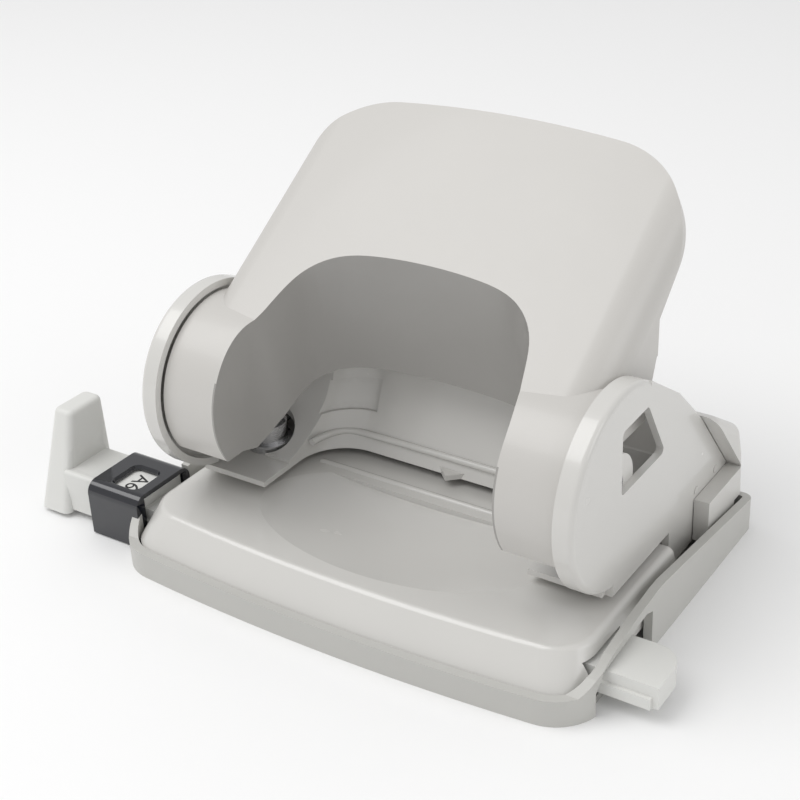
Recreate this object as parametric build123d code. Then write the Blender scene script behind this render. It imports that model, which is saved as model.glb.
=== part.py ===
from build123d import *
import math
import os

# A two-hole desk punch. Millimetres, +Z up. The origin lies on the underside,
# midway between the two punch pins. +Y is the rear, +X the end that the rail's tail leaves.

# Punching
hole_spacing = 80.0        # centre to centre of the two holes
pin_radius = 2.7
pin_fit = 0.05             # radial running clearance of a pin in its guide and die
pin_tip_z = 13.6
pin_head_radius = 3.5
pin_head_height = 1.5
pin_length = 20.3
stop_depth = 12.0          # paper stop to the line through the pins

# Deck (pressed base plate)
deck_z = 11.4
deck_sheet = 0.9
deck_bottom_z = 4.0
deck_shoulder_z = 5.0
deck_half_width = 51.7
deck_side_inset = 1.9      # how much narrower the top is than the foot of the apron
deck_front = -36.2
deck_crease = -31.0
deck_bow = 2.8             # how far the front's middle stands ahead of its ends
deck_corner = 8.0
deck_edge_radius = 1.5
deck_step_y = 10.0         # behind this line the deck narrows to pass between the cheeks' legs
deck_rear = 37.5
deck_rear_half_width = 46.0
dish_depth = 2.3
dish_length_radius = 62.0
dish_width_radius = 225.0
dish_middle_y = -10.5
dish_rear_y = 0.5
slot_gap = 1.8             # height of the paper slot above the deck

# Frame
frame_sheet = 1.2
cheek_outer_x = 48.1
cheek_sheet = 1.5
cheek_radius = 19.8
cheek_lip_inner_x = 44.1
cheek_lip = 1.5
cheek_edge_radius = 1.1
pivot_y = -8.2
pivot_z = 34.2
slope_top = (14.1, 43.0)
slope_knee = (24.5, 33.0)
slope_end = (39.8, 14.5)
leg_width = 11.3
leg_bottom_z = 4.6
foot_front_y = -13.5
arch_half_width = 31.0
arch_rear_y = 9.0
arch_corner = 10.5
arch_lean = 66.0           # degrees between the bridge's front skin and the deck
pointer_half_width = 3.0
pointer_length = 2.2
trough_front_y = -5.0      # where the lip beside the arch begins
pin_bay_radius = 5.6        # the bridge stands this far clear of a punch pin's axis
drum_gap = 1.5             # between the handle's drum and the bridge behind it

# Handle
handle_half_width = 43.7
handle_wall = 1.6
drum_radius = 17.9
handle_incline = 33.2      # degrees, face above the deck at rest
handle_reach = 62.5        # from the pivot to the top edge, along the face
handle_corner = 20.0
handle_top_bow = 3.0
handle_crown = 1.8
handle_edge_radius = 7.0
flange_depth = 7.5
mouth_half_width = 31.2
mouth_curve = ((31.2, -25.0), (29.0, -13.0), (26.0, -4.3), (20.4, 0.8), (11.5, 2.9), (0.0, 3.4))
mouth_level_z = 61.5
mouth_wall_lean = 0.19     # rearward drift of the mouth's wall per unit of drop
pivot_radius = 2.25
pivot_fit = 0.05
pivot_boss_radius = 3.7

# Levers, guides and springs
lever_sheet = 2.0
press_pin_radius = 2.4
press_pin_z = 36.5
press_pin_end_x = 41.8
guide_flange_radius = 5.0
guide_flange = 1.6
guide_tube_radius = 4.0
guide_top_z = 20.0
seat_thickness = 0.8
seat_radius = 3.8
spring_wire = 0.36
spring_radius = 3.45
spring_turns = 6
die_radius = 4.6
die_height = 2.1

# Rear cover
cover_half_width = 51.5
cover_wall = 1.6
cover_gap = 0.1
cover_shelf_z = 14.5
cover_bottom_z = 7.9
cover_skirt_z = 5.0
cover_skirt_rear_y = 36.8
cover_rear_y = 42.0
cover_edge_radius = 3.6

# Chip tray
tray_half_width = 54.0
tray_front = -38.3
tray_bow = 2.9
tray_rear = 41.8
tray_wall = 1.8
tray_floor = 1.6
tray_corner = 10.0
tray_rear_corner = 2.5
tray_front_rim_z = 5.6
tray_shoulder_z = 12.4
tray_shoulder_y = -5.5
tray_rear_rim_z = 7.1
hinge_y = 40.2
hinge_z = 4.6
hinge_x = 30.0
hinge_pin_radius = 0.9
hinge_fit = 0.05
hinge_lug_width = 6.0
hinge_lug_radius = 1.9
hinge_side_gap = 0.4

# Paper stop rail and its housing
rail_front = -26.5
rail_rear = -14.3
rail_bottom_z = 3.3
rail_top_z = 8.0
rail_right_x = 64.0
rail_corner = 5.0
neck_top_z = 10.9
neck_right_x = -53.4
rail_fit = 0.35
fin_inner_x = -74.0
fin_foot_outer_x = -82.0
fin_top_outer_x = -79.2
fin_top_z = 23.5
fin_foot_z = 1.0
fin_front = -28.2
fin_rear = -12.5
housing_left_x = -65.5
housing_right_x = -52.0
housing_front = -29.3
housing_rear = -12.9
housing_bottom_z = 0.3
housing_top_z = 12.3
housing_edge_radius = 2.6
window_left_x = -61.4
window_right_x = -54.7
window_front = -26.1
window_rear = -18.5
strip_thickness = 0.3
strip_width = 8.6

rail_way_y = (rail_front - rail_fit, rail_rear + rail_fit)
rail_way_top_z = rail_top_z + 0.8
rail_way_x = deck_sheet + deck_side_inset + 0.6
pin_x = hole_spacing / 2
bore_radius = pin_radius + pin_fit
foot_z = deck_z + slot_gap
foot_top_z = foot_z + frame_sheet
cheek_inner_x = cheek_outer_x - cheek_sheet
pin_shoulder_z = pin_tip_z + pin_length - pin_head_height
pivot = (pivot_y, pivot_z)
incline = math.radians(handle_incline)
along = (math.cos(incline), math.sin(incline))
outward = (-math.sin(incline), math.cos(incline))


def prism_x(points, low, high):
    """Extrude a polygon of (y, z) points from x = low to x = high."""
    outline = Polyline(*[(low, y, z) for y, z in points], close=True)
    return extrude(make_face(outline), amount=high - low, dir=(1, 0, 0))


def rod_x(radius, low, high, centre=pivot):
    """A round bar along X through the (y, z) centre."""
    return Pos((low + high) / 2, *centre) * Rot(0, 90, 0) * Cylinder(radius, high - low)


def rod_z(radius, low, high, x=0.0, y=0.0):
    """A round bar along Z."""
    return Pos(x, y, (low + high) / 2) * Cylinder(radius, high - low)


def block(x, y, z):
    """A box from its (low, high) pairs."""
    middle = [(low + high) / 2 for low, high in (x, y, z)]
    return Pos(*middle) * Box(x[1] - x[0], y[1] - y[0], z[1] - z[0])


def bowed_outline(half_width, front, bow, rear, front_radius, rear_radius, z):
    """A plan outline with a bowed front edge and rounded corners."""
    left_front, right_front = (-half_width, front + bow, z), (half_width, front + bow, z)
    edges = [
        ThreePointArc(left_front, (0, front, z), right_front),
        Line(right_front, (half_width, rear, z)),
        Line((half_width, rear, z), (-half_width, rear, z)),
        Line((-half_width, rear, z), left_front),
    ]
    outline = make_face(edges).face()
    corners = outline.vertices().sort_by(Axis.Y)
    outline = outline.fillet_2d(front_radius, corners[:2])
    if rear_radius > 0:
        corners = outline.vertices().sort_by(Axis.Y)
        outline = outline.fillet_2d(rear_radius, corners[-2:])
    return outline


def both_sides(name, solid):
    """Write the +X piece and its mirror image as right and left nodes."""
    export_step(solid, f"parts/{name}_right.step")
    export_step(mirror(solid, about=Plane.YZ), f"parts/{name}_left.step")


def face_point(reach, height):
    """The (y, z) point that far along the handle's face and out from the pivot."""
    y = pivot_y + along[0] * reach + outward[0] * height
    z = pivot_z + along[1] * reach + outward[1] * height
    return y, z


# Base -----------------------------------------------------------------------

def deck_body(inset):
    """The deck's outer form, or with an inset the hollow under its sheet."""
    half = deck_half_width - inset
    foot = bowed_outline(half, deck_front + inset, deck_bow, deck_step_y - inset,
                         deck_corner - inset, 0, deck_shoulder_z)
    crease = deck_crease + inset / 2
    top = bowed_outline(half - deck_side_inset, crease, deck_bow, deck_step_y - inset,
                        deck_corner - inset, 0, deck_z - inset)
    apron = loft([foot, top], ruled=True)
    if inset == 0:
        rims = apron.edges().group_by(Axis.Z)[-1].sort_by(Axis.Y)[:-1]
        apron = fillet(rims, deck_edge_radius)
    skirt = extrude(foot, amount=-(deck_shoulder_z - deck_bottom_z + inset))
    rear_half = deck_rear_half_width - inset
    rear = block((-rear_half, rear_half), (deck_step_y - 3, deck_rear - inset),
                 (deck_bottom_z - inset, deck_z - inset))
    return apron + skirt + rear


def dish(inset):
    """The shallow finger dish, as a barrel lying along X."""
    radius = dish_length_radius + inset
    axis_z = deck_z - dish_depth + dish_length_radius
    half = hole_spacing / 2
    end = radius - half * half / (2 * dish_width_radius)
    left, right = (-half, dish_middle_y, axis_z - end), (half, dish_middle_y, axis_z - end)
    rim = ThreePointArc(left, (0, dish_middle_y, axis_z - radius), right)
    ends = [Line(right, (half, dish_middle_y, axis_z)),
            Line((half, dish_middle_y, axis_z), (-half, dish_middle_y, axis_z)),
            Line((-half, dish_middle_y, axis_z), left)]
    barrel = revolve(make_face([rim] + ends), axis=Axis((0, dish_middle_y, axis_z), (1, 0, 0)))
    limit = block((-half, half), (deck_front, dish_rear_y + inset), (deck_bottom_z, deck_z + 1))
    return barrel & limit


def base_plate():
    solid = deck_body(0) - dish(0) - (deck_body(deck_sheet) - dish(deck_sheet))
    for x in (-pin_x, pin_x):
        solid -= rod_z(bore_radius, deck_bottom_z, deck_z + 1, x)
    for x in (-deck_rivet_x, deck_rivet_x):
        solid -= rod_z(deck_rivet_radius, deck_bottom_z, deck_z + 1, x, deck_rivet_y)
    solid -= block((-deck_half_width - 1, rail_way_x - deck_half_width), rail_way_y, (0, rail_way_top_z))
    solid -= block((deck_half_width - rail_way_x, deck_half_width + 1), rail_way_y, (0, rail_way_top_z))
    for x in (-hinge_x, hinge_x):
        low, high = x - hinge_lug_width / 2, x + hinge_lug_width / 2
        arm = block((low, high), (deck_rear - deck_sheet, hinge_y),
                    (hinge_z - hinge_lug_radius, hinge_z + hinge_lug_radius))
        barrel = rod_x(hinge_lug_radius, low, high, (hinge_y, hinge_z))
        solid += arm + barrel
        solid -= rod_x(hinge_pin_radius + hinge_fit, low - 1, high + 1, (hinge_y, hinge_z))
    return solid


def die_bush():
    top = deck_z - deck_sheet
    ring = rod_z(die_radius, top - die_height, top, pin_x)
    return ring - rod_z(bore_radius, top - die_height - 1, top + 1, pin_x)


# Frame ----------------------------------------------------------------------

pocket_inner_x = 20.5
pocket_outer_x = 35.0
pocket_z = (21.0, 27.5)
pocket_depth = 0.7
deck_rivet_x = 25.0
deck_rivet_y = 33.5
deck_rivet_radius = 1.5
deck_rivet_head_radius = 2.8
deck_rivet_head = 1.0
cheek_rivet_radius = 0.8
cheek_rivet_places = ((24.2, 16.2), (33.6, 16.2))
cheek_rivet_proud = 0.2
window_points = ((-9.5, 33.2), (-9.5, 46.3), (0.8, 46.6), (8.5, 33.4))
window_radius = 1.0


def cheek_outline(low, high):
    """The cheek's flat form: disc, sloped rear and the leg that stops the paper."""
    leg_rear = stop_depth + leg_width
    shell = [(foot_front_y + 1.2, foot_z), (stop_depth, foot_z), (stop_depth, leg_bottom_z),
             (leg_rear, leg_bottom_z), (leg_rear, foot_z - 0.6), slope_end, slope_knee, slope_top,
             (6.7, 48.0), (2.0, 51.2), (pivot_y, pivot_z)]
    disc = rod_x(cheek_radius, low, high)
    disc = fillet(disc.edges().sort_by(Axis.X)[-1], cheek_edge_radius)
    return disc + prism_x(shell, low, high)


def cheek():
    plate = cheek_outline(cheek_inner_x, cheek_outer_x)
    lip = rod_x(cheek_radius, cheek_lip_inner_x, cheek_inner_x)
    lip -= rod_x(cheek_radius - cheek_lip, cheek_lip_inner_x, cheek_inner_x)
    front_half = prism_x([(pivot_y - 3.6, 0), (pivot_y - 3.6, pivot_z), (6.7, 60), (-60, 60), (-60, 0)],
                         cheek_lip_inner_x, cheek_inner_x)
    window = prism_x(window_points, cheek_inner_x - 1, cheek_outer_x + 1)
    window = fillet(window.edges().filter_by(Axis.X), window_radius)
    solid = plate + (lip & front_half) - window
    for place in cheek_rivet_places:
        solid -= rod_x(cheek_rivet_radius, cheek_inner_x - 1, cheek_outer_x + 1, place)
    return solid


def bridge_outline(inset):
    """Side outline of the bridge; the inset gives its hollow."""
    slope_gap = 0.6 + inset
    bottom = foot_z - (2 if inset else 0)
    return [
        (foot_front_y + inset, bottom), (foot_front_y + inset, foot_top_z - inset),
        (trough_front_y + inset, foot_top_z - inset), (trough_front_y + inset, pivot_z - 12),
        (11.2 + inset, 30.5 - inset * 0.6),
        (17.5, 36.5 - inset * 1.4), (slope_knee[0] - 4.6 - inset / 2, 37.0 - inset),
        (slope_knee[0] - 0.77 * slope_gap, slope_knee[1] - 0.64 * slope_gap),
        (slope_end[0] - 0.77 * slope_gap, slope_end[1] - 0.64 * slope_gap),
        (slope_end[0] - 0.77 * slope_gap, bottom),
    ]


def arch_tunnel(inset):
    """The leaning U-shaped way through the bridge; the inset makes it larger."""
    half = arch_half_width + inset
    rear = arch_rear_y + inset
    low_z = foot_z - 3
    drift = math.tan(math.radians(90 - arch_lean))
    shift = -3 * drift
    outline = make_face(Polyline((-half, -60, low_z), (half, -60, low_z), (half, rear + shift, low_z),
                                 (-half, rear + shift, low_z), close=True)).face()
    outline = outline.fillet_2d(arch_corner + inset, outline.vertices().sort_by(Axis.Y)[-2:])
    height = 40.0
    return extrude(outline, amount=height / math.sin(math.radians(arch_lean)), dir=(0, drift, 1))


def frame_bridge():
    half = cheek_inner_x
    outer = prism_x(bridge_outline(0), -half, half)
    outer -= rod_x(drum_radius + drum_gap, -half, half)
    hollow = prism_x(bridge_outline(frame_sheet), -half + frame_sheet, half - frame_sheet)
    hollow -= rod_x(drum_radius + drum_gap + frame_sheet, -half, half)
    hollow -= block((-half, half), (-60, arch_rear_y), (foot_z, foot_top_z))
    hollow -= arch_tunnel(frame_sheet)
    solid = outer - arch_tunnel(0) - hollow
    foot = block((-half + frame_sheet, half - frame_sheet), (deck_rivet_y - 3, deck_rivet_y + 3),
                 (deck_z, foot_top_z))
    solid += foot
    for side in (-1, 1):
        low, high = sorted((side * pin_x, side * half))
        solid -= block((low, high), (foot_front_y - 1, pin_bay_radius), (foot_top_z, pivot_z))
        solid -= rod_z(pin_bay_radius, foot_top_z, pivot_z, side * pin_x)
    for low, high in ((-pocket_outer_x, -pocket_inner_x), (pocket_inner_x, pocket_outer_x)):
        solid -= arch_tunnel(pocket_depth) & block((low, high), (foot_front_y, slope_knee[0]), pocket_z)
    pointer = Polyline((-pointer_half_width, arch_rear_y + 0.5, foot_z),
                       (pointer_half_width, arch_rear_y + 0.5, foot_z),
                       (0, arch_rear_y - pointer_length, foot_z), close=True)
    solid += extrude(make_face(pointer), amount=frame_sheet, dir=(0, 0, 1))
    for x in (-pin_x, pin_x):
        solid -= rod_z(bore_radius, foot_z - 1, foot_top_z + 1, x)
    for x in (-deck_rivet_x, deck_rivet_x):
        solid -= rod_z(deck_rivet_radius, deck_z - 1, foot_top_z + 1, x, deck_rivet_y)
    for place in cheek_rivet_places:
        solid -= rod_x(cheek_rivet_radius, -half - 1, half + 1, place)
    return solid


def cheek_rivets():
    shanks = []
    for side in (-1, 1):
        for place in cheek_rivet_places:
            ends = sorted((side * (cheek_inner_x - frame_sheet), side * (cheek_outer_x + cheek_rivet_proud)))
            shanks.append(rod_x(cheek_rivet_radius, ends[0], ends[1], place))
    return Compound(shanks)


def deck_rivets():
    under = deck_z - deck_sheet
    rivets = []
    for x in (-deck_rivet_x, deck_rivet_x):
        shank = rod_z(deck_rivet_radius, under, foot_top_z, x, deck_rivet_y)
        head = rod_z(deck_rivet_head_radius, under - deck_rivet_head, under, x, deck_rivet_y)
        rivets.append(shank + head)
    return Compound(rivets)


bearing_radius = 6.2
bearing_plate_thickness = 1.4
bearing_tail_z = 18.5
bearing_tail_half = 4.0


def bearing_plate():
    low = cheek_inner_x - bearing_plate_thickness
    tail = block((low, cheek_inner_x), (pivot_y - bearing_tail_half, pivot_y + bearing_tail_half),
                 (bearing_tail_z, pivot_z))
    plate = rod_x(bearing_radius, low, cheek_inner_x) + tail
    return plate - rod_x(pivot_radius, low - 1, cheek_inner_x + 1)


def pivot_stub():
    inner = lever_inner_x + 0.2
    return rod_x(pivot_radius, inner, cheek_inner_x)


# Rear cover -----------------------------------------------------------------

def cover_solid(half, inset):
    """The cover's hump over the frame's sloped rear."""
    knee = (slope_knee[0] + 0.77 * cover_gap, slope_knee[1] + 0.64 * cover_gap)
    roof = [knee, (27.8 - inset * 0.4, 31.8 - inset), (38.9 - inset * 0.8, 24.6 - inset * 0.8),
            (41.0 - inset, 18.0), (cover_rear_y - inset, cover_bottom_z - inset)]
    front = stop_depth + leg_width + cover_gap
    foot = [(cover_skirt_rear_y, cover_bottom_z - inset), (cover_skirt_rear_y, cover_skirt_z - inset),
            (front, cover_skirt_z - inset), (front, cover_shelf_z)]
    return prism_x(roof + foot, -half, half)


def rear_cover():
    outer = cover_solid(cover_half_width, 0)
    long_edges = [e for e in outer.edges() if abs(e.center().X) < 0.01
                  and e.center().Z > cover_bottom_z + 6 and e.center().Y > slope_knee[0] + 2]
    outer = fillet(long_edges, cover_edge_radius)
    sides = [e for e in outer.edges() if abs(abs(e.center().X) - cover_half_width) < 0.01
             and e.center().Z > cover_shelf_z + 1 and e.center().Y > slope_knee[0] + 1]
    outer = fillet(sides, cover_edge_radius * 0.7)
    knee = (slope_knee[0] + 0.77 * cover_gap, slope_knee[1] + 0.64 * cover_gap)
    end = (slope_end[0] + 0.77 * cover_gap, slope_end[1] + 0.64 * cover_gap)
    inside = cheek_outer_x + cover_gap
    nest = [knee, end, (end[0], 0), (0, 0), (0, knee[1])]
    above_shelf = [knee, (end[0], cover_shelf_z), (0, cover_shelf_z), (0, knee[1])]
    solid = outer - prism_x(nest, -inside, inside)
    solid -= prism_x(above_shelf, -60, 60)
    hollow = cover_solid(inside, cover_wall)
    return solid - hollow


# Handle ---------------------------------------------------------------------

lever_inner_x = mouth_half_width + handle_wall
press_pin_y = 0.0


def handle_bar(inset):
    """The pressing plate's crowned bar above the pivot."""
    half = handle_half_width - inset
    top = drum_radius - inset
    depth = 45.0
    section_plane = Plane(origin=(0, *pivot), x_dir=(1, 0, 0), z_dir=(0, *along))
    edge = top - handle_crown
    edges = [ThreePointArc((-half, -edge), (0, -top), (half, -edge)),
             Line((half, -edge), (half, depth)), Line((half, depth), (-half, depth)),
             Line((-half, depth), (-half, -edge))]
    section = make_face(edges).face()
    section = section.fillet_2d(handle_edge_radius - inset, section.vertices().sort_by(Axis.Y)[:2])
    bar = extrude(section_plane * section, amount=handle_reach + handle_top_bow + 2)
    plan_plane = Plane(origin=(0, *pivot), x_dir=(1, 0, 0), z_dir=(0, *outward))
    reach = handle_reach - inset
    rear = [Line((-half, -1), (half, -1)), Line((half, -1), (half, reach - handle_top_bow)),
            ThreePointArc((half, reach - handle_top_bow), (0, reach), (-half, reach - handle_top_bow)),
            Line((-half, reach - handle_top_bow), (-half, -1))]
    plan = make_face(rear).face()
    plan = plan.fillet_2d(handle_corner - inset, plan.vertices().sort_by(Axis.Y)[-2:])
    column = extrude(plan_plane * plan, amount=60, both=True)
    return bar & column


def grown(points, amount):
    """The half outline's points moved outward, square to its run."""
    moved = []
    for index, (x, y) in enumerate(points):
        before = points[max(index - 1, 0)]
        after = points[index + 1] if index + 1 < len(points) else (-before[0], before[1])
        run = (after[0] - before[0], after[1] - before[1])
        if index == 0:
            run = (0.0, 1.0)
        length = math.hypot(*run)
        moved.append((x + amount * run[1] / length, y - amount * run[0] / length))
    return moved


def mouth(inset):
    """The U-shaped opening between the handle's legs; the inset makes it larger."""
    rise = 40.0
    z = mouth_level_z + rise
    shift = -mouth_wall_lean * rise
    half = [(x, y + shift, z) for x, y in grown(mouth_curve, inset)]
    rim = half + [(-x, y, z) for x, y, z in reversed(half[:-1])]
    front = -70.0
    right, left = (half[0][0], front, z), (-half[0][0], front, z)
    edges = [Line(right, rim[0]), Spline(*rim, tangents=[(0, 1, 0), (0, -1, 0)]),
             Line(rim[-1], left), Line(left, right)]
    return extrude(make_face(edges), amount=95, dir=(0, mouth_wall_lean, -1))


def handle_side_outline():
    """Everything of the handle that lies above its lower outline."""
    flange_start = face_point(31.0, drum_radius - flange_depth - 3)
    flange_end = face_point(handle_reach + 6, drum_radius - flange_depth + 3.5)
    return [(-45, 24.4), (-18.5, 24.4), (-14.3, 23.1), (-10.5, 24.6), (-5.6, 29.0), (-1.0, 32.4),
            (4.0, 34.4), (13.0, 36.0),
            flange_start, flange_end, (80, 125), (-45, 125)]


def handle_shell():
    half = handle_half_width
    outer = handle_bar(0) + rod_x(drum_radius, -half, half)
    outer = outer & prism_x(handle_side_outline(), -half, half)
    hollow = handle_bar(handle_wall)
    hollow += rod_x(drum_radius - handle_wall, -half + handle_wall, half - handle_wall)
    solid = outer - mouth(0) - (hollow - mouth(handle_wall))
    inner = half - handle_wall
    pin_way = [(pivot_y + pivot_boss_radius - 0.1, 10), (pivot_y + pivot_boss_radius - 0.1, 38.6),
               (8.5, 38.6), (13.0, 50), (40, 50), (40, 10)]
    for low, high in ((-half - 1, -inner + 1), (inner - 1, half + 1)):
        solid -= prism_x(pin_way, low, high)
    for side in (-1, 1):
        ends = sorted((side * (inner - 1.6), side * half))
        solid += rod_x(pivot_boss_radius, ends[0], ends[1])
    for low, high in ((-half - 1, -lever_inner_x), (lever_inner_x, half + 1)):
        solid -= rod_x(pivot_radius + pivot_fit, low, high)
    return solid


def lever_plate():
    low, high = lever_inner_x, lever_inner_x + lever_sheet
    nose = (press_pin_y, press_pin_z)
    outline = [(pivot_y - 3.6, pivot_z - 3), (pivot_y, pivot_z - 4.4), (1.5, press_pin_z - 3.2),
               (3.3, press_pin_z), (2.0, press_pin_z + 3), (-2.0, 50.0), (-11.0, 46.0),
               (pivot_y - 4.5, pivot_z + 2)]
    plate = prism_x(outline, low, high)
    plate -= rod_x(pivot_radius + pivot_fit, low - 1, high + 1)
    return plate - rod_x(press_pin_radius / 2, low - 1, high + 1, nose)


def press_pin():
    nose = (press_pin_y, press_pin_z)
    low = lever_inner_x + lever_sheet
    head = rod_x(press_pin_radius, low, press_pin_end_x, nose)
    return head + rod_x(press_pin_radius / 2, lever_inner_x, low, nose)


# Pins and springs -----------------------------------------------------------

def pin_guide():
    flange = rod_z(guide_flange_radius, foot_top_z, foot_top_z + guide_flange, pin_x)
    tube = rod_z(guide_tube_radius, foot_top_z, guide_top_z, pin_x)
    return flange + tube - rod_z(bore_radius, foot_z, guide_top_z + 1, pin_x)


def punch_pin():
    shank = rod_z(pin_radius, pin_tip_z, pin_shoulder_z, pin_x)
    head = rod_z(pin_head_radius, pin_shoulder_z, pin_shoulder_z + pin_head_height, pin_x)
    tip_hollow = Pos(pin_x, 0, pin_tip_z - 1.6) * Rot(90, 0, 0) * Cylinder(pin_radius, 3 * pin_radius)
    return shank + head - tip_hollow


def spring_seat():
    low = pin_shoulder_z - seat_thickness
    ring = rod_z(seat_radius, low, pin_shoulder_z, pin_x)
    return ring - rod_z(pin_radius, low - 1, pin_shoulder_z + 1, pin_x)


def return_spring():
    low = guide_top_z + spring_wire
    high = pin_shoulder_z - seat_thickness - spring_wire
    helix = Helix(pitch=(high - low) / spring_turns, height=high - low, radius=spring_radius)
    wire = Plane(origin=helix @ 0, z_dir=helix % 0) * Circle(spring_wire)
    return Pos(pin_x, 0, low) * sweep(wire, path=helix)


# Tray -----------------------------------------------------------------------

def tray_rim_cut():
    """What lies above the tray's rim, seen from the side."""
    return prism_x([(-60, tray_front_rim_z), (-32.5, tray_front_rim_z), (-29.0, 8.0), (-23.5, 10.0), (-14.0, 11.6),
                    (tray_shoulder_y, tray_shoulder_z), (-2.0, tray_shoulder_z),
                    (tray_rear, tray_rear_rim_z), (60, tray_rear_rim_z), (60, 30), (-60, 30)], -60, 60)


def rail_gate(low, high):
    """The arched way that the rail leaves through."""
    return prism_x([(rail_front - 2.6, -1), (rail_front - 2.6, 5.0), (-27.0, 8.4), (-16.0, 9.4),
                    (-9.8, 9.9), (-7.2, 9.0), (-7.2, -1)], low, high)


def chip_tray():
    outline = bowed_outline(tray_half_width, tray_front, tray_bow, tray_rear,
                            tray_corner, tray_rear_corner, 0)
    shell = extrude(outline, amount=tray_shoulder_z)
    inner = bowed_outline(tray_half_width - tray_wall, tray_front + tray_wall, tray_bow,
                          tray_rear - tray_wall, tray_corner - tray_wall,
                          tray_rear_corner - tray_wall, tray_floor)
    shell -= extrude(inner, amount=tray_shoulder_z)
    shell -= tray_rim_cut()
    inner_x = tray_half_width - tray_wall
    shell -= rail_gate(inner_x - 0.2, tray_half_width + 1)
    shell -= block((-tray_half_width - 1, housing_right_x), (housing_front, housing_rear),
                   (-1, housing_top_z + 2))
    for x in (-hinge_x, hinge_x):
        reach = hinge_lug_width / 2 + hinge_side_gap
        boss = block((x - reach - 3, x + reach + 3), (hinge_y - 1.9, tray_rear - 0.5),
                     (tray_floor, hinge_z + 1.9))
        slot = block((x - reach, x + reach), (hinge_y - 2.6, tray_rear + 1),
                     (hinge_z - 2.6, tray_shoulder_z))
        shell += boss
        shell -= slot
        shell -= rod_x(hinge_pin_radius, x - reach - 2.6, x + reach + 2.6, (hinge_y, hinge_z))
    rib_half = tray_half_width - 6
    for y in (rail_front - rail_fit - 1.2, rail_rear + rail_fit):
        shell += block((-rib_half, rib_half), (y, y + 1.2), (tray_floor, rail_bottom_z + 2.2))
    for y in (rail_front + 2, rail_rear - 3):
        shell += block((-rib_half, rib_half), (y, y + 1.0), (tray_floor, rail_bottom_z - 0.2))
    return shell


def hinge_pins():
    reach = hinge_lug_width / 2 + hinge_side_gap + 2.6
    pins = [rod_x(hinge_pin_radius, x - reach, x + reach, (hinge_y, hinge_z)) for x in (-hinge_x, hinge_x)]
    return Compound(pins)


def rail_housing():
    box = block((housing_left_x, housing_right_x), (housing_front, housing_rear),
                (housing_bottom_z, housing_top_z))
    long_top = [e for e in box.edges().filter_by(Axis.X) if e.center().Z > housing_top_z - 0.1]
    box = fillet(long_top, housing_edge_radius)
    way = block((housing_left_x - 1, housing_right_x + 1), (rail_front - rail_fit, rail_rear + rail_fit),
                (rail_bottom_z - rail_fit, neck_top_z + rail_fit))
    window = block((window_left_x, window_right_x), (window_front, window_rear),
                   (neck_top_z, housing_top_z + 1))
    window = fillet(window.edges().filter_by(Axis.Z), 1.4)
    flare = loft([Pos((window_left_x + window_right_x) / 2, (window_front + window_rear) / 2, z)
                  * RectangleRounded(window_right_x - window_left_x + grow,
                                     window_rear - window_front + grow, 1.4 + grow / 2)
                  for z, grow in ((housing_top_z - 0.7, 0.0), (housing_top_z + 0.1, 1.0))])
    detent = block((detent_low_x, detent_high_x), (detent_front, detent_rear),
                   (housing_bottom_z - 1, rail_bottom_z))
    return box - way - window - flare - detent


detent_low_x = -63.5
detent_high_x = -55.0
detent_front = -21.6
detent_rear = -18.4
detent_strip = 0.4


def detent_spring():
    """A leaf with a raised middle that drops into the rail's notches."""
    z = housing_bottom_z + 0.6
    middle = (detent_low_x + detent_high_x) / 2
    points = [(detent_low_x, z), (middle - 1.6, z + 1.3), (middle, z + 1.85), (middle + 1.6, z + 1.3),
              (detent_high_x, z)]
    upper = [(x, detent_front + 0.1, height + detent_strip) for x, height in points]
    lower = [(x, detent_front + 0.1, height) for x, height in reversed(points)]
    leaf = make_face(Polyline(*(upper + lower), close=True))
    return extrude(leaf, amount=detent_rear - detent_front - 0.2, dir=(0, 1, 0))


# Rail -----------------------------------------------------------------------

notch_pitch = 8.0
notch_depth = 0.6
rail_step_z = 5.6
rail_step = 0.8
rail_left_x = fin_inner_x - 1.0


def stop_rail():
    bar = block((rail_left_x, rail_right_x), (rail_front + rail_step, rail_rear), (rail_bottom_z, rail_top_z))
    corner = [e for e in bar.edges().filter_by(Axis.Z) if e.center().X > 0 and e.center().Y > -20]
    bar = fillet(corner, rail_corner)
    ledge = block((rail_left_x, rail_right_x - 1.2), (rail_front, rail_front + rail_step + 0.1),
                  (rail_bottom_z, rail_step_z))
    bar += ledge
    foot = Pos((fin_inner_x + fin_foot_outer_x) / 2, (fin_front + fin_rear) / 2, fin_foot_z)
    foot_face = foot * RectangleRounded(fin_inner_x - fin_foot_outer_x, fin_rear - fin_front, 1.6)
    head_front = fin_front + 5.2
    head = Pos((fin_inner_x + fin_top_outer_x) / 2, (head_front + fin_rear - 0.8) / 2, fin_top_z)
    head_face = head * RectangleRounded(fin_inner_x - fin_top_outer_x, fin_rear - 0.8 - head_front, 1.6)
    fin = loft([foot_face, head_face], ruled=True)
    fin = fillet(fin.edges().group_by(Axis.Z)[-1], 1.2)
    neck = block((fin_inner_x - 1.0, neck_right_x), (rail_front, rail_rear), (rail_bottom_z, neck_top_z))
    heel = block((fin_inner_x - 1.0, housing_left_x - 0.8), (rail_front, rail_rear), (fin_foot_z + 0.6, rail_bottom_z))
    neck = fillet(neck.edges().filter_by(Axis.X).group_by(Axis.Z)[-1], 0.6) + heel
    groove = block((rail_left_x + 9, rail_right_x - 4), (-21.0, -19.0), (rail_bottom_z - 1, rail_bottom_z + notch_depth))
    strip_seat = Compound([block(*strip) for strip in strip_places()])
    return bar + fin + neck - groove - strip_seat - notches()


strip_left_x = -63.0
strip_right_x = 22.0
strip_front = -26.0 + rail_step


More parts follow.
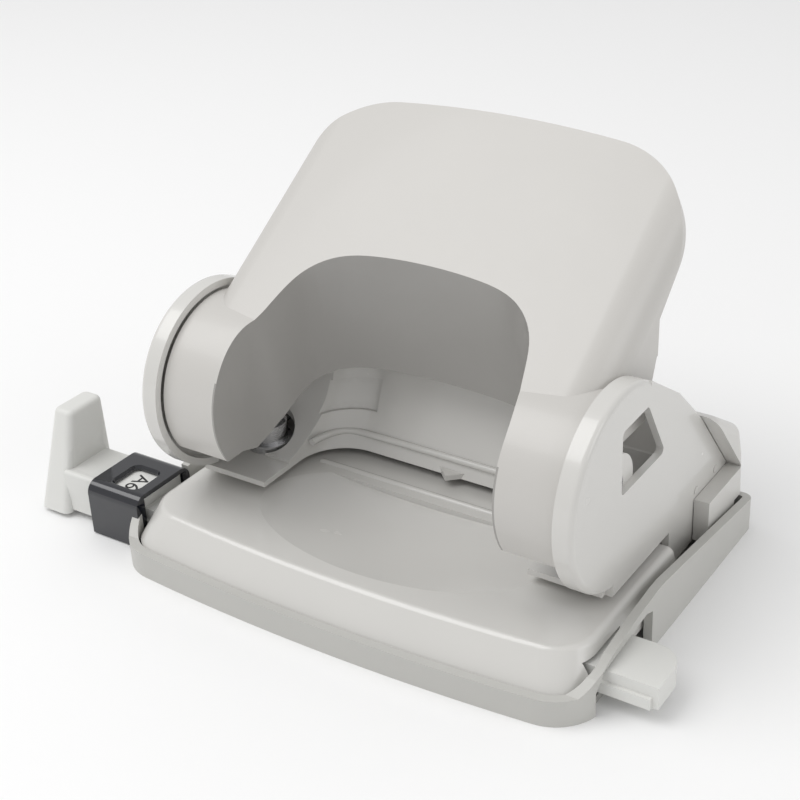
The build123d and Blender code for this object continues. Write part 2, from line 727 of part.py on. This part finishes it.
def notches():
    """Detent notches under the rail, one for each paper size's step."""
    cuts = []
    x = (detent_low_x + detent_high_x) / 2
    while x < rail_right_x - 20:
        cuts.append(block((x - 1.4, x + 1.4), (detent_front, detent_rear),
                          (rail_bottom_z - 1, rail_bottom_z + 2 * notch_depth)))
        x += notch_pitch
    return Compound(cuts)


def strip_places():
    """The first field lies on the raised neck, the rest along the bar."""
    y = (strip_front, strip_front + strip_width)
    return [((strip_left_x, neck_right_x - 0.6), y, (neck_top_z - strip_thickness, neck_top_z)),
            ((neck_right_x + 1.0, strip_right_x), y, (rail_top_z - strip_thickness, rail_top_z))]


def format_strip():
    return Compound([block(*strip) for strip in strip_places()])


os.makedirs("parts", exist_ok=True)
singles = {
    "base_plate": base_plate, "frame_bridge": frame_bridge, "cheek_rivets": cheek_rivets,
    "deck_rivets": deck_rivets, "rear_cover": rear_cover, "handle_shell": handle_shell,
    "chip_tray": chip_tray, "hinge_pins": hinge_pins, "rail_housing": rail_housing,
    "detent_spring": detent_spring, "stop_rail": stop_rail, "format_strip": format_strip,
}
pairs = {
    "die_bush": die_bush, "frame_cheek": cheek, "bearing_plate": bearing_plate,
    "pivot_stub": pivot_stub, "lever_plate": lever_plate, "press_pin": press_pin,
    "pin_guide": pin_guide, "punch_pin": punch_pin, "spring_seat": spring_seat,
    "return_spring": return_spring,
}
for name, build in singles.items():
    export_step(build(), f"parts/{name}.step")
for name, build in pairs.items():
    both_sides(name, build())
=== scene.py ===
import math

import bmesh
import bpy
from bpy.props import FloatProperty, FloatVectorProperty, PointerProperty
from mathutils import Matrix, Vector


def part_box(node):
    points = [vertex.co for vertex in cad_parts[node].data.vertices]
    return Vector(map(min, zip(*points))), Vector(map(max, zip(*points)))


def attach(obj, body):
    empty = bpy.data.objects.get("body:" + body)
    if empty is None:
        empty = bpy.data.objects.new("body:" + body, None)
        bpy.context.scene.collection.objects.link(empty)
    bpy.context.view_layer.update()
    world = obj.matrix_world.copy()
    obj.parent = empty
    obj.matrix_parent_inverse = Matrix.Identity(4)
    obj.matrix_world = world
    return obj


bl_info = {
    "name": "Two-hole desk punch",
    "version": (1, 0, 0),
    "blender": (4, 5, 0),
    "location": "View3D > Sidebar > Punch",
    "description": "Finishes, trim and studio for a two-hole desk punch",
    "category": "Object",
}

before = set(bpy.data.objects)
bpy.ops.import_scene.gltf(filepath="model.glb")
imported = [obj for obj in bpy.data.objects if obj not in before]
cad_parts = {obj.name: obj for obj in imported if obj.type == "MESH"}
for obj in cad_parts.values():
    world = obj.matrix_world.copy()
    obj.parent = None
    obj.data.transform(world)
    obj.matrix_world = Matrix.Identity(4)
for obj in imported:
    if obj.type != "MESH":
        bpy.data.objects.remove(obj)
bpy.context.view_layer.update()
MM = 0.001

PAINTED_NODES = ("base_plate", "frame_bridge", "cheek_rivets", "frame_cheek_left",
                 "frame_cheek_right")
COVER_NODES = ("rear_cover", "bearing_plate_left", "bearing_plate_right")
STEEL_NODES = ("die_bush", "pivot_stub", "lever_plate", "press_pin", "pin_guide", "punch_pin",
               "spring_seat")

# Where the trim lies on the frame
FRAME_SHEET = 1.2 * MM
ARCH_HALF_WIDTH = 31.0 * MM
ARCH_REAR = 9.0 * MM
ARCH_CORNER = 10.5 * MM
ARCH_LEAN = math.radians(24.0)
BEAD_SHOWS = 0.25           # share of the bead's radius that it stands forward by
BEAD_STEPS = ((1.2 * MM, 0.85 * ARCH_CORNER), (1.6 * MM, 0.5 * ARCH_CORNER),
              (0.42 * ARCH_CORNER, 0.06 * ARCH_CORNER), (ARCH_CORNER, 0.0))
RIB_Y = 3.4 * MM
RIB_SINK = 0.3 * MM
RIB_INSET = 2.0 * MM
MARK_PLACE = (7.45 * MM, 7.0 * MM)    # from the housing's low corner
MARK_LIFT = 0.02 * MM
MARK_LETTER = 1.35          # font size for a capital of height 1
TUBE_CREASE = math.radians(35)

# Relief and clear coat
PAINT_RELIEF = 0.00005
STEEL_RELIEF = 0.00003
COAT_ROUGHNESS = 0.08

# Studio
AIM = Vector((0.0, 0.0, 0.03))
KEY_PLACE, KEY_SIZE = (-0.35, -0.25, 0.75), 0.7
FILL_PLACE, FILL_SIZE = (0.75, 0.05, 0.45), 0.5
FLOOR_SIZE = 3.0
LENS, SENSOR = 70.1, 36.0
LENS_SHIFT = (-0.112, -0.038)
CAMERA_PLACE = (0.1506, -0.2214, 0.1822)
CAMERA_RIGHT = (0.858, 0.5133, -0.0175)
CAMERA_BACK = (0.4616, -0.7557, 0.4646)


# Settings -------------------------------------------------------------------

def colour(name, description, default):
    return FloatVectorProperty(name=name, description=description, subtype="COLOR",
                               size=3, min=0.0, max=1.0, default=default)


class PunchFinish(bpy.types.PropertyGroup):
    """Colours and surface of the punch."""
    handle: colour("Handle", "Satin plastic of the pressing handle", (0.57, 0.555, 0.53))
    paint: colour("Paint", "Gloss paint of the deck and frame", (0.64, 0.63, 0.605))
    # Painted shade on the handle's inner wall between its legs
    painted_wall_shade: FloatProperty(name="Inner wall painted shade",
                              description="Tone of the handle's wall between its legs",
                              default=0.6, min=0.2, max=1.0)
    wall_gloss: FloatProperty(name="Inner wall gloss", description="How much smoother that wall is",
                              default=0.16, min=0.0, max=0.3)
    tray: colour("Tray", "Plastic of the chip tray", (0.52, 0.515, 0.49))
    stop: colour("Stop", "Plastic of the paper stop", (0.72, 0.72, 0.695))
    housing: colour("Housing", "Gloss black of the rail housing", (0.006, 0.007, 0.012))
    strip: colour("Strip", "Printed strip under the window", (0.74, 0.74, 0.72))
    ink: colour("Ink", "Printed mark", (0.015, 0.015, 0.016))
    steel: colour("Steel", "Pins, levers and guides", (0.56, 0.56, 0.57))
    grain: FloatProperty(name="Grain", description="Width of the moulded grain on the plastic",
                         default=0.00035, min=0.0001, max=0.002, unit="LENGTH")


class PunchTrim(bpy.types.PropertyGroup):
    """Sizes of the small trim that is added to the frame."""
    bead_radius: FloatProperty(name="Bead", description="Radius of the pressed bead above the arch",
                               default=0.00075, min=0.0003, max=0.002, unit="LENGTH")
    bead_rise: FloatProperty(name="Bead height",
                             description="Height of the bead above the arch's edge",
                             default=0.0034, min=0.002, max=0.008, unit="LENGTH")
    rib_height: FloatProperty(name="Deck rib", description="Height of the rib across the deck",
                              default=0.0005, min=0.0002, max=0.001, unit="LENGTH")
    mark_size: FloatProperty(name="Mark", description="Height of the paper-size mark",
                             default=0.0036, min=0.002, max=0.006, unit="LENGTH")


class PunchStudio(bpy.types.PropertyGroup):
    """Light and floor."""
    key_power: FloatProperty(name="Key light", description="Power of the large soft light",
                             default=3.4, min=0.1, max=50.0, unit="POWER")
    fill_power: FloatProperty(name="Fill light",
                              description="Power of the light on the camera's right",
                              default=0.9, min=0.0, max=50.0, unit="POWER")
    surround: FloatProperty(name="Surround", description="Brightness of the white surround",
                            default=0.66, min=0.0, max=3.0)
    floor: colour("Floor", "Colour of the floor", (0.93, 0.93, 0.93))


# Node groups ----------------------------------------------------------------

def new_group(name, inputs, outputs):
    group = bpy.data.node_groups.new(name, "ShaderNodeTree")
    for label, kind, default in inputs:
        socket = group.interface.new_socket(label, in_out="INPUT", socket_type=kind)
        socket.default_value = default
    for label, kind in outputs:
        group.interface.new_socket(label, in_out="OUTPUT", socket_type=kind)
    return group, group.nodes.new("NodeGroupInput"), group.nodes.new("NodeGroupOutput")


def math_node(tree, operation, first, second):
    node = tree.nodes.new("ShaderNodeMath")
    node.operation = operation
    for socket, value in zip(node.inputs, (first, second)):
        if isinstance(value, (int, float)):
            socket.default_value = value
        else:
            tree.links.new(value, socket)
    return node.outputs[0]


def noise(tree, scale, detail, roughness=0.5):
    node = tree.nodes.new("ShaderNodeTexNoise")
    node.inputs["Detail"].default_value = detail
    node.inputs["Roughness"].default_value = roughness
    if isinstance(scale, (int, float)):
        node.inputs["Scale"].default_value = scale
    else:
        tree.links.new(scale, node.inputs["Scale"])
    coords = tree.nodes.new("ShaderNodeTexCoord")
    tree.links.new(coords.outputs["Object"], node.inputs["Vector"])
    return node.outputs["Fac"]


def surface_grain_group():
    """Fine pebbled grain: a height, and a roughness that follows it."""
    group, source, sink = new_group(
        "Surface grain",
        [("Scale", "NodeSocketFloat", 2500.0), ("Roughness", "NodeSocketFloat", 0.4),
         ("Spread", "NodeSocketFloat", 0.06)],
        [("Height", "NodeSocketFloat"), ("Roughness", "NodeSocketFloat")])
    fine = noise(group, source.outputs["Scale"], 2.0)
    coarse = noise(group, math_node(group, "MULTIPLY", source.outputs["Scale"], 0.12), 3.0)
    both = math_node(group, "ADD", math_node(group, "MULTIPLY", fine, 0.7),
                     math_node(group, "MULTIPLY", coarse, 0.3))
    group.links.new(both, sink.inputs["Height"])
    offset = math_node(group, "MULTIPLY", math_node(group, "SUBTRACT", coarse, 0.5),
                       source.outputs["Spread"])
    group.links.new(math_node(group, "ADD", source.outputs["Roughness"], offset),
                    sink.inputs["Roughness"])
    return group


def tone_and_crease_shade_group():
    """A pearl or moulded tone that drifts slightly over the surface, with painted shade in concave
    creases.
    """
    group, source, sink = new_group(
        "Tone and painted crease shade",
        [("Colour", "NodeSocketColor", (0.7, 0.7, 0.7, 1)), ("Drift", "NodeSocketFloat", 0.05),
         ("Seam shade", "NodeSocketFloat", 0.25), ("Scale", "NodeSocketFloat", 45.0)],
        [("Colour", "NodeSocketColor")])
    cloud = noise(group, source.outputs["Scale"], 3.0)
    drift = math_node(group, "MULTIPLY", math_node(group, "SUBTRACT", cloud, 0.5),
                      source.outputs["Drift"])
    geometry = group.nodes.new("ShaderNodeNewGeometry")
    # Painted shade: concave creases, found by low pointiness, are darkened
    painted_crease_shade = group.nodes.new("ShaderNodeMapRange")
    painted_crease_shade.inputs["From Min"].default_value = 0.40
    painted_crease_shade.inputs["From Max"].default_value = 0.50
    painted_crease_shade.inputs["To Min"].default_value = 1.0
    painted_crease_shade.inputs["To Max"].default_value = 0.0
    group.links.new(geometry.outputs["Pointiness"], painted_crease_shade.inputs["Value"])
    shade = math_node(group, "MULTIPLY", painted_crease_shade.outputs["Result"], source.outputs["Seam shade"])
    level = math_node(group, "ADD", math_node(group, "SUBTRACT", 1.0, shade), drift)
    mix = group.nodes.new("ShaderNodeMix")
    mix.data_type = "RGBA"
    mix.blend_type = "MULTIPLY"
    mix.inputs["Factor"].default_value = 1.0
    group.links.new(source.outputs["Colour"], mix.inputs["A"])
    combine = group.nodes.new("ShaderNodeCombineColor")
    for channel in ("Red", "Green", "Blue"):
        group.links.new(level, combine.inputs[channel])
    group.links.new(combine.outputs["Color"], mix.inputs["B"])
    group.links.new(mix.outputs["Result"], sink.inputs["Colour"])
    return group


def brushed_group():
    """Fine lines along Z, as on drawn or turned steel."""
    group, source, sink = new_group(
        "Drawn lines",
        [("Roughness", "NodeSocketFloat", 0.3), ("Spread", "NodeSocketFloat", 0.15)],
        [("Height", "NodeSocketFloat"), ("Roughness", "NodeSocketFloat")])
    coords = group.nodes.new("ShaderNodeTexCoord")
    stretch = group.nodes.new("ShaderNodeMapping")
    stretch.inputs["Scale"].default_value = (400.0, 400.0, 6000.0)
    texture = group.nodes.new("ShaderNodeTexNoise")
    texture.inputs["Scale"].default_value = 1.0
    texture.inputs["Detail"].default_value = 2.0
    group.links.new(coords.outputs["Object"], stretch.inputs["Vector"])
    group.links.new(stretch.outputs["Vector"], texture.inputs["Vector"])
    group.links.new(texture.outputs["Fac"], sink.inputs["Height"])
    offset = math_node(group, "MULTIPLY", math_node(group, "SUBTRACT", texture.outputs["Fac"], 0.5),
                       source.outputs["Spread"])
    group.links.new(math_node(group, "ADD", source.outputs["Roughness"], offset),
                    sink.inputs["Roughness"])
    return group


def inner_wall_group():
    """A mask of the steep faces between the handle's legs."""
    group, source, sink = new_group(
        "Inner wall",
        [("Half width", "NodeSocketFloat", 0.0316), ("Steepness", "NodeSocketFloat", 0.45)],
        [("Mask", "NodeSocketFloat")])
    coords = group.nodes.new("ShaderNodeTexCoord")
    place = group.nodes.new("ShaderNodeSeparateXYZ")
    facing = group.nodes.new("ShaderNodeSeparateXYZ")
    group.links.new(coords.outputs["Object"], place.inputs["Vector"])
    group.links.new(coords.outputs["Normal"], facing.inputs["Vector"])
    between = math_node(group, "LESS_THAN", math_node(group, "ABSOLUTE", place.outputs["X"], 0.0),
                        source.outputs["Half width"])
    steep = math_node(group, "LESS_THAN", facing.outputs["Z"], source.outputs["Steepness"])
    group.links.new(math_node(group, "MULTIPLY", between, steep), sink.inputs["Mask"])
    return group


def shared_group(name, build):
    return bpy.data.node_groups.get(name) or build()


# Materials ------------------------------------------------------------------

def place_group(tree, group, **values):
    node = tree.nodes.new("ShaderNodeGroup")
    node.node_tree = group
    for label, value in values.items():
        node.inputs[label.replace("_", " ")].default_value = value
    return node


def moulded(name, tint, roughness, grain_scale, bump, coat=0.0, drift=0.04, painted_crease_shade=0.2, spread=0.06):
    """A painted or moulded surface with grain, drift of tone and painted shade in concave creases.
    """
    material = bpy.data.materials.new(name)
    material.use_nodes = True
    tree = material.node_tree
    shader = tree.nodes["Principled BSDF"]
    grain = place_group(tree, shared_group("Surface grain", surface_grain_group),
                        Scale=grain_scale, Roughness=roughness, Spread=spread)
    tone_and_crease_shade = place_group(tree, shared_group("Tone and painted crease shade", tone_and_crease_shade_group),
                       Colour=(*tint, 1.0), Drift=drift, Seam_shade=painted_crease_shade)
    relief = tree.nodes.new("ShaderNodeBump")
    relief.inputs["Strength"].default_value = bump
    relief.inputs["Distance"].default_value = PAINT_RELIEF
    tree.links.new(tone_and_crease_shade.outputs["Colour"], shader.inputs["Base Color"])
    tree.links.new(grain.outputs["Roughness"], shader.inputs["Roughness"])
    tree.links.new(grain.outputs["Height"], relief.inputs["Height"])
    tree.links.new(relief.outputs["Normal"], shader.inputs["Normal"])
    shader.inputs["Coat Weight"].default_value = coat
    shader.inputs["Coat Roughness"].default_value = COAT_ROUGHNESS
    material.diffuse_color = (*tint, 1.0)
    return material


def shade_inner_wall(material, shade, gloss):
    """Darken the faces that the inner wall mask picks out with painted shade, and make them
    smoother.
    """
    tree = material.node_tree
    shader = tree.nodes["Principled BSDF"]
    mask = place_group(tree, shared_group("Inner wall", inner_wall_group)).outputs["Mask"]
    # Painted shade: the inner wall's colour is multiplied darker
    tint = tree.nodes.new("ShaderNodeMix")
    tint.data_type = "RGBA"
    tint.blend_type = "MULTIPLY"
    tint.inputs["B"].default_value = (shade, shade, shade, 1.0)
    tree.links.new(mask, tint.inputs["Factor"])
    tree.links.new(shader.inputs["Base Color"].links[0].from_socket, tint.inputs["A"])
    tree.links.new(tint.outputs["Result"], shader.inputs["Base Color"])
    plain = shader.inputs["Roughness"].links[0].from_socket
    smoother = math_node(tree, "SUBTRACT", plain, math_node(tree, "MULTIPLY", mask, gloss))
    tree.links.new(smoother, shader.inputs["Roughness"])


def steel(name, tint, roughness):
    material = bpy.data.materials.new(name)
    material.use_nodes = True
    tree = material.node_tree
    shader = tree.nodes["Principled BSDF"]
    lines = place_group(tree, shared_group("Drawn lines", brushed_group), Roughness=roughness)
    tone_and_crease_shade = place_group(tree, shared_group("Tone and painted crease shade", tone_and_crease_shade_group), Colour=(*tint, 1.0), Drift=0.08)
    relief = tree.nodes.new("ShaderNodeBump")
    relief.inputs["Strength"].default_value = 0.15
    relief.inputs["Distance"].default_value = STEEL_RELIEF
    tree.links.new(tone_and_crease_shade.outputs["Colour"], shader.inputs["Base Color"])
    tree.links.new(lines.outputs["Roughness"], shader.inputs["Roughness"])
    tree.links.new(lines.outputs["Height"], relief.inputs["Height"])
    tree.links.new(relief.outputs["Normal"], shader.inputs["Normal"])
    shader.inputs["Metallic"].default_value = 1.0
    material.diffuse_color = (*tint, 1.0)
    return material


def give(nodes, material):
    """Put the material on each CAD node's slots."""
    for name in nodes:
        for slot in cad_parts[name].material_slots:
            slot.material = material


def sided(names):
    return [f"{name}_{side}" for name in names for side in ("left", "right")]


# Trim -----------------------------------------------------------------------

def tube_piece(name, points, radius, body, material):
    """A bar of round section along the points, as a mesh."""
    curve = bpy.data.curves.new(name + ".path", "CURVE")
    curve.dimensions = "3D"
    curve.bevel_depth = radius
    curve.bevel_resolution = 4
    curve.use_fill_caps = True
    spline = curve.splines.new("NURBS")
    spline.points.add(len(points) - 1)
    for target, point in zip(spline.points, points):
        target.co = (*point, 1.0)
    spline.order_u = 3
    spline.use_endpoint_u = True
    spline.resolution_u = 8
    holder = bpy.data.objects.new(name + ".path", curve)
    bpy.context.collection.objects.link(holder)
    return finish_piece(name, solid_mesh(holder), body, material)


def solid_mesh(holder):
    """The mesh of a curve or text object, which is removed."""
    depsgraph = bpy.context.evaluated_depsgraph_get()
    mesh = bpy.data.meshes.new_from_object(holder.evaluated_get(depsgraph))
    bpy.data.objects.remove(holder)
    return mesh


def finish_piece(name, mesh, body, material):
    """Link the mesh as a smooth piece that rides on the body."""
    mesh.materials.clear()
    mesh.materials.append(material)
    mesh.shade_smooth()
    mesh.set_sharp_from_angle(angle=TUBE_CREASE)
    piece = bpy.data.objects.new(name, mesh)
    bpy.context.collection.objects.link(piece)
    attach(piece, body)
    return piece


class PUNCH_OT_finish_frame(bpy.types.Operator):
    """Paint the deck, the bridge and the cheeks"""
    bl_idname = "punch.finish_frame"
    bl_label = "Finish frame"

    def execute(self, context):
        finish = context.scene.punch_finish
        give(PAINTED_NODES, moulded("Gloss pearl paint", finish.paint, 0.26, 900.0, 0.10,
                                    coat=0.55, painted_crease_shade=0.12))
        give(COVER_NODES, moulded("Cover plastic", finish.paint, 0.36, 1600.0, 0.12, coat=0.15))
        return {"FINISHED"}


class PUNCH_OT_finish_handle(bpy.types.Operator):
    """Give the handle its satin moulded surface"""
    bl_idname = "punch.finish_handle"
    bl_label = "Finish handle"

    def execute(self, context):
        finish = context.scene.punch_finish
        satin = moulded("Satin handle plastic", finish.handle, 0.38, 1.0 / finish.grain, 0.22,
                        coat=0.12, spread=0.10)
        # Painted shade darkens the inner wall between the legs, and its roughness is lowered there
        shade_inner_wall(satin, finish.painted_wall_shade, finish.wall_gloss)
        give(["handle_shell"], satin)
        return {"FINISHED"}


class PUNCH_OT_finish_tray(bpy.types.Operator):
    """Give the chip tray its moulded surface"""
    bl_idname = "punch.finish_tray"
    bl_label = "Finish tray"

    def execute(self, context):
        finish = context.scene.punch_finish
        give(["chip_tray"], moulded("Tray plastic", finish.tray, 0.42, 0.8 / finish.grain, 0.18))
        return {"FINISHED"}


class PUNCH_OT_finish_rail(bpy.types.Operator):
    """Finish the paper stop, its strip and its housing"""
    bl_idname = "punch.finish_rail"
    bl_label = "Finish rail"

    def execute(self, context):
        finish = context.scene.punch_finish
        give(["stop_rail"], moulded("Stop plastic", finish.stop, 0.45, 0.9 / finish.grain, 0.18))
        give(["format_strip"], moulded("Strip card", finish.strip, 0.55, 3000.0, 0.05, drift=0.02))
        give(["rail_housing"], moulded("Gloss black plastic", finish.housing, 0.12, 500.0, 0.04,
                                       coat=0.6, drift=0.1, spread=0.03))
        return {"FINISHED"}


class PUNCH_OT_finish_steel(bpy.types.Operator):
    """Finish the pins, levers, guides and springs"""
    bl_idname = "punch.finish_steel"
    bl_label = "Finish steel"

    def execute(self, context):
        finish = context.scene.punch_finish
        ground = steel("Ground steel", finish.steel, 0.28)
        give(sided(STEEL_NODES) + ["deck_rivets", "hinge_pins"], ground)
        give(sided(["return_spring"]) + ["detent_spring"], steel("Spring wire", finish.steel, 0.22))
        return {"FINISHED"}


class PUNCH_OT_press_trim(bpy.types.Operator):
    """Add the pressed bead above the arch and the rib across the deck"""
    bl_idname = "punch.press_trim"
    bl_label = "Press trim"

    def execute(self, context):
        trim = context.scene.punch_trim
        paint = bpy.data.materials["Gloss pearl paint"]
        foot_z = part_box("pin_guide_right")[0][2] - FRAME_SHEET
        y = ARCH_REAR + trim.bead_rise * math.tan(ARCH_LEAN) - BEAD_SHOWS * trim.bead_radius
        z = foot_z + trim.bead_rise
        left, right = ([(side * (ARCH_HALF_WIDTH - inward), y - forward, z)
                        for inward, forward in BEAD_STEPS] for side in (-1, 1))
        tube_piece("bridge_bead", left + right[::-1], trim.bead_radius, "base",
                   paint)
        rib_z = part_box("base_plate")[1][2] - RIB_SINK
        span = ARCH_HALF_WIDTH - RIB_INSET
        rib = [(x, RIB_Y, rib_z) for x in (-span, 0.0, span)]
        tube_piece("deck_rib", rib, trim.rib_height + RIB_SINK, "base", paint)
        return {"FINISHED"}


class PUNCH_OT_print_mark(bpy.types.Operator):
    """Print the paper-size mark on the strip"""
    bl_idname = "punch.print_mark"
    bl_label = "Print mark"

    def execute(self, context):
        ink = moulded("Printing ink", context.scene.punch_finish.ink, 0.5, 2000.0, 0.0)
        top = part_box("format_strip")[1][2]
        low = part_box("rail_housing")[0]
        centre = Vector((low[0] + MARK_PLACE[0], low[1] + MARK_PLACE[1], top + MARK_LIFT))
        text = bpy.data.curves.new("format_mark.text", "FONT")
        text.body = "A6"
        text.size = context.scene.punch_trim.mark_size * MARK_LETTER
        text.align_x = "CENTER"
        text.align_y = "CENTER"
        text.extrude = MARK_LIFT
        holder = bpy.data.objects.new("format_mark.text", text)
        context.collection.objects.link(holder)
        mesh = solid_mesh(holder)
        mesh.transform(Matrix.Translation(centre) @ Matrix.Rotation(math.radians(-90), 4, "Z"))
        finish_piece("format_mark", mesh, "rail", ink)
        return {"FINISHED"}


class PUNCH_OT_set_stage(bpy.types.Operator):
    """Set the floor, the soft lights and the camera"""
    bl_idname = "punch.set_stage"
    bl_label = "Set stage"

    def execute(self, context):
        studio = context.scene.punch_studio
        add_floor(context, studio)
        add_surround(context, studio)
        add_soft_light(context, "Key light", KEY_PLACE, KEY_SIZE, studio.key_power)
        add_soft_light(context, "Fill light", FILL_PLACE, FILL_SIZE, studio.fill_power)
        add_camera(context)
        context.scene.view_settings.view_transform = "Standard"
        return {"FINISHED"}


def add_floor(context, studio):
    mesh = bpy.data.meshes.new("floor")
    build = bmesh.new()
    bmesh.ops.create_grid(build, x_segments=4, y_segments=4, size=FLOOR_SIZE)
    build.to_mesh(mesh)
    build.free()
    floor = bpy.data.objects.new("floor", mesh)
    context.collection.objects.link(floor)
    material = bpy.data.materials.new("Studio floor")
    material.use_nodes = True
    shader = material.node_tree.nodes["Principled BSDF"]
    shader.inputs["Base Color"].default_value = (*studio.floor, 1.0)
    shader.inputs["Roughness"].default_value = 0.6
    mesh.materials.append(material)


def add_surround(context, studio):
    world = bpy.data.worlds.new("Studio")
    world.use_nodes = True
    background = world.node_tree.nodes["Background"]
    background.inputs["Color"].default_value = (1.0, 1.0, 1.0, 1.0)
    background.inputs["Strength"].default_value = studio.surround
    context.scene.world = world


def add_soft_light(context, name, place, size, power):
    light = bpy.data.lights.new(name, "AREA")
    light.shape = "DISK"
    light.size = size
    light.energy = power
    holder = bpy.data.objects.new(name, light)
    holder.location = place
    holder.rotation_euler = (AIM - Vector(place)).to_track_quat("-Z", "Y").to_euler()
    context.collection.objects.link(holder)


def add_camera(context):
    """A short telephoto view from the front right, a little above the handle."""
    data = bpy.data.cameras.new("Camera")
    data.lens = LENS
    data.sensor_width = SENSOR
    data.shift_x, data.shift_y = LENS_SHIFT
    camera = bpy.data.objects.new("Camera", data)
    right = Vector(CAMERA_RIGHT).normalized()
    back = Vector(CAMERA_BACK).normalized()
    up = back.cross(right).normalized()
    turn = Matrix((right, up, back)).transposed().to_4x4()
    camera.matrix_world = Matrix.Translation(CAMERA_PLACE) @ turn
    context.collection.objects.link(camera)
    context.scene.camera = camera


class PUNCH_PT_sidebar(bpy.types.Panel):
    """Sidebar panel with the punch's settings and steps"""
    bl_idname = "PUNCH_PT_sidebar"
    bl_label = "Desk punch"
    bl_space_type = "VIEW_3D"
    bl_region_type = "UI"
    bl_category = "Punch"

    def draw(self, context):
        scene = context.scene
        for holder in (scene.punch_finish, scene.punch_trim, scene.punch_studio):
            column = self.layout.column(align=True)
            for name in holder.__annotations__:
                column.prop(holder, name)
        for step in STEPS:
            self.layout.operator(step.bl_idname)


STEPS = (PUNCH_OT_finish_frame, PUNCH_OT_finish_handle, PUNCH_OT_finish_tray, PUNCH_OT_finish_rail,
         PUNCH_OT_finish_steel, PUNCH_OT_press_trim, PUNCH_OT_print_mark, PUNCH_OT_set_stage)
CLASSES = (PunchFinish, PunchTrim, PunchStudio) + STEPS + (PUNCH_PT_sidebar,)


def register():
    for cls in CLASSES:
        bpy.utils.register_class(cls)
    bpy.types.Scene.punch_finish = PointerProperty(type=PunchFinish)
    bpy.types.Scene.punch_trim = PointerProperty(type=PunchTrim)
    bpy.types.Scene.punch_studio = PointerProperty(type=PunchStudio)


def unregister():
    del bpy.types.Scene.punch_finish
    del bpy.types.Scene.punch_trim
    del bpy.types.Scene.punch_studio
    for cls in reversed(CLASSES):
        bpy.utils.unregister_class(cls)


def main():
    register()
    for step in STEPS:
        group, name = step.bl_idname.split(".")
        getattr(getattr(bpy.ops, group), name)()


if __name__ == "__main__":
    main()
